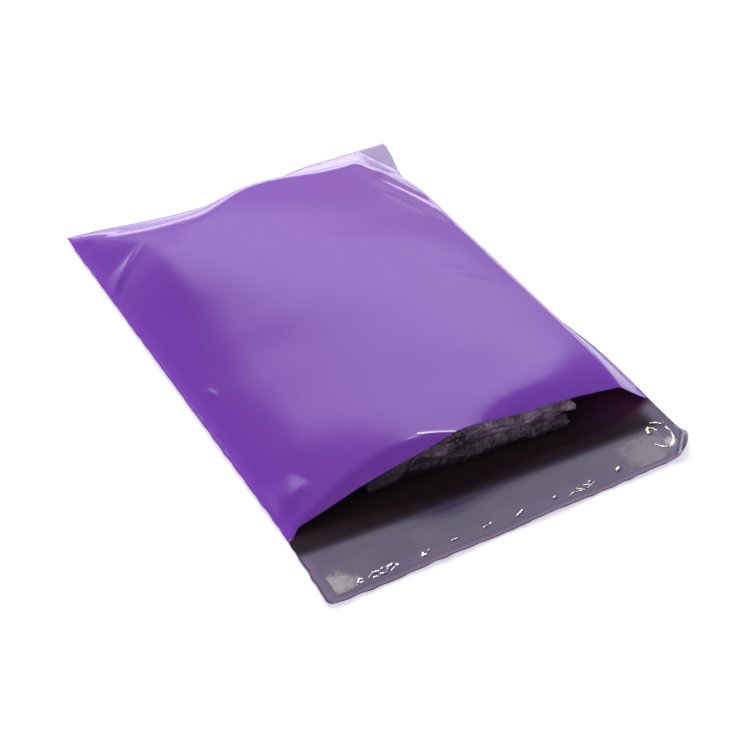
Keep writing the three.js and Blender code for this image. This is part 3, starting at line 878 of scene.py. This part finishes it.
def liner_material():
    """Clear liner over the black film, near-black with painted shade toward the mouth, and with pale
    patches of painted sheen at both ends.
    """
    liner = Finish("grey_clear_liner", IOR=1.4)
    body = liner.blend(liner.over(liner.y, TIP_Y + 16, TIP_Y + 2), SLATE, SLATE_TIP)
    clouds = liner.ramp(liner.noise(scale=38, detail=4), 0.4, 0.75, high=0.35)
    cloudy = liner.blend(clouds, body, LINER_CLOUD)
    # painted sheen: pale patches at the left end, the right end and the curled corner, where the liner
    # catches light
    left = liner.patch(spot(10.5, 11.5 - FLAP_LENGTH), radius=12, unevenness=8, inner=2, strength=0.8)
    right = liner.patch(spot(222, 13 - FLAP_LENGTH), radius=24, unevenness=16, inner=4, strength=0.3)
    corner = liner.patch(spot(237.5, 14.5 - FLAP_LENGTH), radius=6, unevenness=4, inner=2, strength=1.0)
    sheen_patches = liner.math("MAXIMUM", liner.math("MAXIMUM", left, right), corner)
    # painted shade: the liner goes near-black toward the mouth
    unshaded = liner.out_of_mouth_shade()
    liner.set("Base Color", liner.blend(unshaded, LINER_MOUTH_SHADE, liner.blend(sheen_patches, cloudy, LINER_SHEEN)))
    gloss = liner.ramp(liner.noise(scale=60), 0.3, 0.7, 0.12, 0.2)
    liner.set("Roughness", liner.math("MAXIMUM", gloss, liner.ramp(unshaded, 0, 1, MATTE, 0.12)))
    liner.bump((liner.noise(scale=420), 0.08, 0.5))
    return liner.made


# Painted glints on the liner's creases, dull to bright
PUCKER_GLINT_TONES = ((0.3, 0.28, 0.3), (0.97, 0.95, 0.9))


def crease_glint_material():
    """The loose creases of the liner, painted bright as glints of light."""
    pucker = Finish("liner_crease_glints", Roughness=0.3, Metallic=0.8)
    caught = pucker.ramp(pucker.noise(scale=420), 0.35, 0.6)
    pucker.set("Base Color", pucker.blend(caught, *PUCKER_GLINT_TONES))
    return pucker.made


ADHESIVE_TONES = ((0.04, 0.036, 0.05), (0.065, 0.058, 0.08))


def adhesive_material():
    """Dark tacky band with a fine lumpy surface."""
    adhesive = Finish("hot_melt", Roughness=0.4, IOR=1.5)
    adhesive.set("Base Color", adhesive.blend(adhesive.noise(scale=90), *ADHESIVE_TONES))
    adhesive.bump((adhesive.noise(scale=260), 0.3, 0.6))
    return adhesive.made


# Painted shade of the goods, from near-black to lit
GOODS_SHADED_TO_LIT = ((0.03, 0.014, 0.032), (0.44, 0.28, 0.46))
# Painted glints along the crinkles of the clear film
GOODS_CRINKLE_GLINT = (0.46, 0.35, 0.46)
CELL_STRAY = 0.012
COARSE_CELLS = 130
FINE_CELLS = 330


def bundle_material():
    """Dark goods in clear crumpled film: broken whitish crinkles painted as glints, over a ground with
    painted shade that darkens toward the left and the bottom.
    """
    goods = Finish("wrapped_goods", IOR=1.5)
    wander = goods.add("ShaderNodeTexNoise", Vector=goods.place, Scale=70, Detail=2).outputs["Color"]
    mixed = goods.add("ShaderNodeMix", {"data_type": "VECTOR"}, _0=CELL_STRAY, _4=goods.place, _5=wander)
    strayed = mixed.outputs[1]

    def cells(scale, feature):
        node = goods.add("ShaderNodeTexVoronoi", {"feature": feature}, Vector=strayed, Scale=scale)
        return node.outputs["Distance"]

    lines = goods.ramp(cells(COARSE_CELLS, "DISTANCE_TO_EDGE"), 0.0, 0.09, low=1.0, high=0.0)
    fine = goods.ramp(cells(FINE_CELLS, "DISTANCE_TO_EDGE"), 0.0, 0.12, low=0.6, high=0.0)
    broken = goods.ramp(goods.noise(scale=90, detail=4), 0.45, 0.7, high=0.9)
    crinkles = goods.math("MULTIPLY", goods.math("MAXIMUM", lines, fine), broken)
    # painted shade: darker toward the left and toward the bottom, deep in the bag
    light = goods.over(goods.x, -65, 30, low=0.03)
    out_of_shade = goods.math("MULTIPLY", light, goods.over(goods.z, 6, 21, low=0.1))
    patches = goods.ramp(goods.noise(scale=45, detail=4), 0.3, 0.75)
    ground = goods.blend(goods.math("MULTIPLY", patches, out_of_shade), *GOODS_SHADED_TO_LIT)
    # painted glints along the crinkles, dimmed in the painted shade
    drawn = goods.math("MULTIPLY", crinkles, out_of_shade)
    goods.set("Base Color", goods.blend(drawn, ground, GOODS_CRINKLE_GLINT))
    gloss = goods.ramp(goods.noise(scale=120), 0.3, 0.7, 0.1, 0.3)
    dull_left = goods.over(goods.x, -70, -20, low=0.75, high=0.1)
    goods.set("Roughness", goods.math("MAXIMUM", gloss, dull_left))
    goods.bump((cells(COARSE_CELLS, "F1"), 0.7, 2.2), (cells(FINE_CELLS, "F1"), 0.6, 0.9))
    return goods.made


# The pieces on the frame
def dress(obj, node, *materials):
    for made in materials:
        obj.data.materials.append(made)
    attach(obj, "root")
    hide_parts(node)


purple = outer_film()
black = inner_film()
front = front_panel()
back = back_panel()
for panel in (front, back):
    dress(panel, "mailer_film", purple, black)

dress(adhesive_band(), "adhesive_strip", adhesive_material())

liner = liner_film()
dress(liner, "release_liner", liner_material(), crease_glint_material())

goods = bundle_material()
for number, layout in enumerate(BUNDLE_LAYERS):
    layer = bundle_layer(f"bundle_layer_{number + 1}", *layout, BUNDLE_SEED + number)
    dress(layer, "wrapped_bundle", goods)


# Stage: floor, light and camera. The walls and the ceiling are strengths of the world's light, and an edge
# is where one fades into the next, as a part of the direction's x, y or z
WHITE = (1, 1, 1, 1)
FLOOR_COLOR = (0.92, 0.92, 0.93, 1)
FLOOR_GLOW = 0.5
FLOOR_REACH = 20000
FLOOR_DROP = 0.3
LEFT_WALL = 1.3
FRONT_WALL = 0.12
BACK_WALL = 0.7
CEILING = 0.26
LEFT_WALL_EDGE = (-0.8, 0.0)
BACK_WALL_EDGE = (0.0, 0.6)
CEILING_EDGE = (0.3, 0.65)


def floor():
    corners = [(-1, -1), (1, -1), (1, 1), (-1, 1)]
    points = [(x * FLOOR_REACH, y * FLOOR_REACH, -FLOOR_DROP) for x, y in corners]
    obj = mesh_object("floor", points, [range(len(corners))])
    pale = Finish("pale_floor", Base_Color=FLOOR_COLOR, Roughness=0.7, Emission_Color=WHITE)
    path = pale.nodes.new("ShaderNodeLightPath").outputs
    seen = pale.math("MAXIMUM", path["Is Camera Ray"], path["Is Glossy Ray"])
    seen = pale.math("MAXIMUM", seen, path["Is Transmission Ray"])
    pale.set("Emission Strength", pale.math("MULTIPLY", seen, FLOOR_GLOW))
    obj.data.materials.append(pale.made)


def world():
    made = bpy.data.worlds.new("studio")
    bpy.context.scene.world = made
    made.use_nodes = True
    studio = Nodes(made.node_tree, "Generated")
    background = studio.nodes["Background"]
    background.inputs["Color"].default_value = WHITE
    near = studio.ramp(studio.x, *LEFT_WALL_EDGE, LEFT_WALL, FRONT_WALL)
    wall = studio.ramp(studio.y, *BACK_WALL_EDGE, near, BACK_WALL)
    studio.links.new(studio.ramp(studio.z, *CEILING_EDGE, wall, CEILING), background.inputs["Strength"])


def direction(azimuth, elevation):
    """Unit vector from the object: azimuth from +Y to the right, elevation over the floor, in degrees."""
    a, e = math.radians(azimuth), math.radians(elevation)
    return Vector((math.sin(a) * math.cos(e), math.cos(a) * math.cos(e), math.sin(e)))


def softbox(name, azimuth, elevation, distance, width, height, radiance):
    """A rectangular lamp that faces the object, with its sizes in metres."""
    data = bpy.data.lights.new(name, "AREA")
    data.shape = "RECTANGLE"
    data.size = width
    data.size_y = height
    data.energy = radiance * math.pi * width * height
    obj = bpy.data.objects.new(name, data)
    toward = direction(azimuth, elevation)
    obj.location = toward * distance
    obj.rotation_euler = toward.to_track_quat("Z", "Y").to_euler()
    bpy.context.scene.collection.objects.link(obj)


# The camera, in metres and degrees, as the corners of the body in the photo give it
CAMERA_TARGET = Vector((-0.0110, -0.0345, 0.0))
CAMERA_DISTANCE = 1.0038
CAMERA_AZIMUTH = 31.44
CAMERA_ELEVATION = 40.91
CAMERA_ROLL = 1.72
CAMERA_CLIP = (0.01, 50)
SENSOR_WIDTH = 36
PHOTO_SIDE = 750
FOCAL_PIXELS = 1612.35


def camera():
    data = bpy.data.cameras.new("camera")
    data.sensor_width = SENSOR_WIDTH
    data.lens = SENSOR_WIDTH * FOCAL_PIXELS / PHOTO_SIDE
    data.clip_start, data.clip_end = CAMERA_CLIP
    obj = bpy.data.objects.new("camera", data)
    toward = direction(CAMERA_AZIMUTH + 180, CAMERA_ELEVATION)
    place = Matrix.Translation(CAMERA_TARGET + toward * CAMERA_DISTANCE)
    aim = toward.to_track_quat("Z", "Y").to_matrix().to_4x4()
    obj.matrix_world = place @ aim @ Matrix.Rotation(math.radians(CAMERA_ROLL), 4, "Z")
    bpy.context.scene.collection.objects.link(obj)
    bpy.context.scene.camera = obj


floor()
world()
softbox("back_softbox", azimuth=25, elevation=43, distance=1.5, width=1.56, height=0.8, radiance=2.1)
softbox("low_key", azimuth=24, elevation=10, distance=1.6, width=2.6, height=0.3, radiance=4.8)
softbox("high_lamp", azimuth=25, elevation=66, distance=1.5, width=0.1, height=0.1, radiance=80.0)
softbox("front_lamp", azimuth=150, elevation=30, distance=1.5, width=0.12, height=0.12, radiance=12.0)
camera()
bpy.context.scene.view_settings.view_transform = "Standard"
